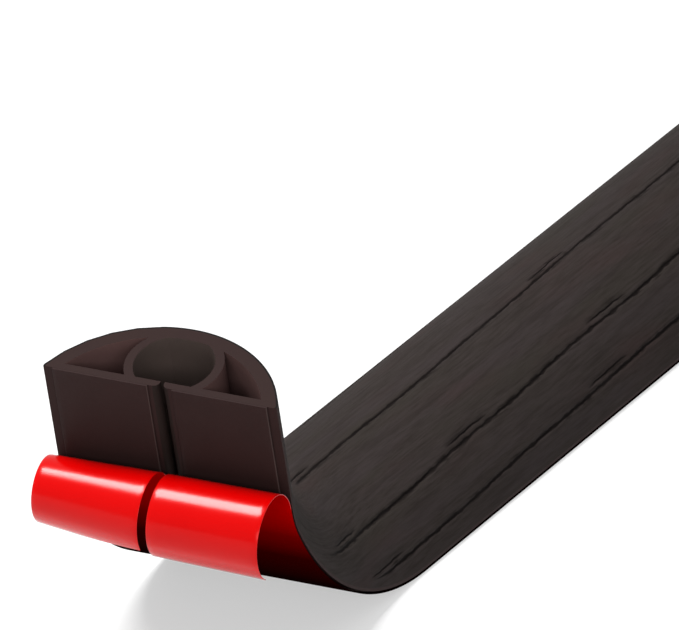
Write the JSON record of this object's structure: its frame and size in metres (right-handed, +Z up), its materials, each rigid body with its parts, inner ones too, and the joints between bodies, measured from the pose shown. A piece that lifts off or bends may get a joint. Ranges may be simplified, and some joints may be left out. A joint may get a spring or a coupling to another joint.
{
  "type": "floor cord cover",
  "caption": "Long soft domed strip with a slit cable channel and side chambers, its near end bent up and the red release liners of its adhesive tapes peeled back.",
  "frame": {"origin": "centre of the bounding box, on the floor that the strip lies on", "axes": "+X along the strip from its raised end to its far end, +Y across the strip, +Z up"},
  "size_m": [0.9702, 0.066, 0.0895],
  "materials": {
    "wood_look_pvc": "dark wenge wood print with embossed grain on the dome, plain dark brown on the cut ends and base",
    "adhesive_tape": "dark brown, slightly shiny pressure-sensitive adhesive",
    "release_film": "glossy red film"
  },
  "bodies": {
    "root": {"cover_profile": "wood_look_pvc", "adhesive_tape_left": "adhesive_tape", "adhesive_tape_right": "adhesive_tape", "release_liner_left": "release_film", "release_liner_right": "release_film"}
  },
  "joints": []
}
